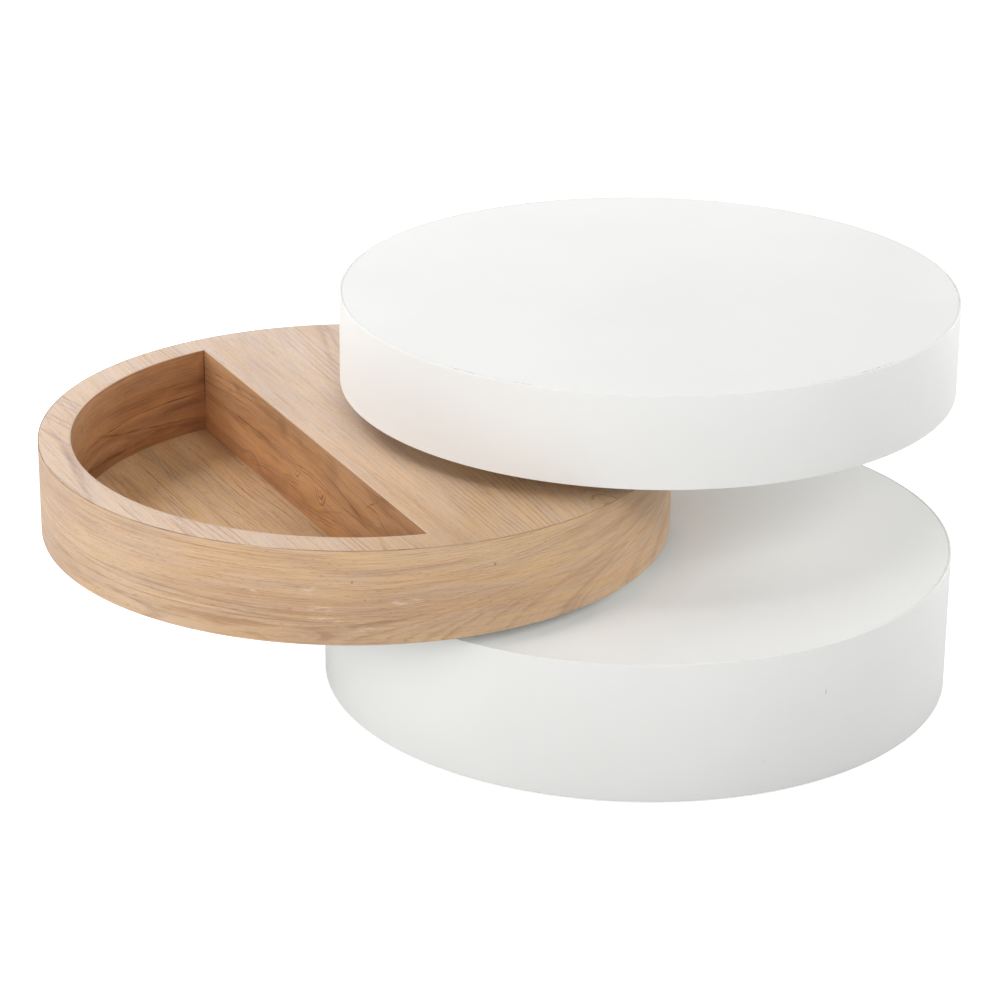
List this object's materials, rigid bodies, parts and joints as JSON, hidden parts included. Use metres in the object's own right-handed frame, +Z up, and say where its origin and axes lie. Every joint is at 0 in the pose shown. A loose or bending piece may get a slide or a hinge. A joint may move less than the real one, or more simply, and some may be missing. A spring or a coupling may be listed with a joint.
{
  "type": "swivel coffee table",
  "caption": "Round swivel coffee table: white base and top drums with an oak tray drum between them, all on an off-centre upright axis; the tray has a segment-shaped open recess.",
  "frame": {"origin": "on the floor, under the centre of the white base drum", "axes": "+Z up; +X to the right and +Y to the back as seen from the front, with the tray swung out to -X and the top swung to +Y"},
  "size_m": [1.0265, 0.8304, 0.406],
  "materials": {
    "white_lacquer": "satin white lacquer on board",
    "raw_board": "bare fibreboard",
    "oak_face": "light oak veneer, matt clear coat",
    "oak_side": "light oak veneer, grain round the drum, matt clear coat",
    "oak_recess": "oak veneer, matt clear coat",
    "zinc_steel": "zinc plated pressed steel",
    "ball_steel": "polished bearing steel",
    "bush_plastic": "natural acetal",
    "pad_foam": "dark foam rubber"
  },
  "bodies": {
    "base": {"base_bottom_panel": "raw_board", "base_side_band": "white_lacquer", "base_top_panel": "white_lacquer", "base_ribs": "raw_board", "base_pivot_block": "raw_board", "floor_pads": "pad_foam", "lower_bottom_plate": "zinc_steel", "base_plate_screws": "zinc_steel", "base_kingbolt": "zinc_steel", "base_kingbolt_washer": "zinc_steel", "base_kingbolt_nut": "zinc_steel"},
    "lower_ball_ring": {"lower_balls": "ball_steel", "lower_ball_cage": "zinc_steel"},
    "tray": {"tray_floor_panel": "oak_recess", "tray_side_band": "raw_board", "tray_side_veneer": "oak_side", "tray_deck_panel": "oak_face", "tray_divider": "raw_board", "tray_divider_lining": "oak_recess", "tray_curved_lining": "oak_recess", "tray_rim_blocks": "raw_board", "tray_ribs": "raw_board", "tray_lower_block": "raw_board", "tray_upper_block": "raw_board", "tray_bush": "bush_plastic", "lower_top_plate": "zinc_steel", "tray_under_screws": "zinc_steel", "upper_bottom_plate": "zinc_steel", "tray_deck_screws": "zinc_steel", "tray_kingbolt": "zinc_steel", "tray_kingbolt_washer": "zinc_steel", "tray_kingbolt_nut": "zinc_steel"},
    "upper_ball_ring": {"upper_balls": "ball_steel", "upper_ball_cage": "zinc_steel"},
    "top": {"top_bottom_panel": "white_lacquer", "top_side_band": "white_lacquer", "top_face_panel": "white_lacquer", "top_ribs": "raw_board", "top_pivot_block": "raw_board", "top_bush": "bush_plastic", "upper_top_plate": "zinc_steel", "top_under_screws": "zinc_steel"}
  },
  "joints": [
    {"name": "tray_swivel", "type": "hinge", "parent": "base", "child": "tray", "pos_m": [-0.15611, 0.08127, 0.169], "axis": [0, 0, 1], "continuous": true},
    {"name": "top_swivel", "type": "hinge", "parent": "tray", "child": "top", "pos_m": [-0.15611, 0.08127, 0.292], "axis": [0, 0, 1], "continuous": true},
    {"name": "lower_balls_roll", "type": "hinge", "parent": "base", "child": "lower_ball_ring", "pos_m": [-0.15611, 0.08127, 0.169], "axis": [0, 0, 1], "continuous": true},
    {"name": "upper_balls_roll", "type": "hinge", "parent": "tray", "child": "upper_ball_ring", "pos_m": [-0.15611, 0.08127, 0.292], "axis": [0, 0, 1], "continuous": true}
  ],
  "couplings": [
    {"joint": "lower_balls_roll", "follows": "tray_swivel", "ratio": 0.5},
    {"joint": "upper_balls_roll", "follows": "top_swivel", "ratio": 0.5}
  ]
}
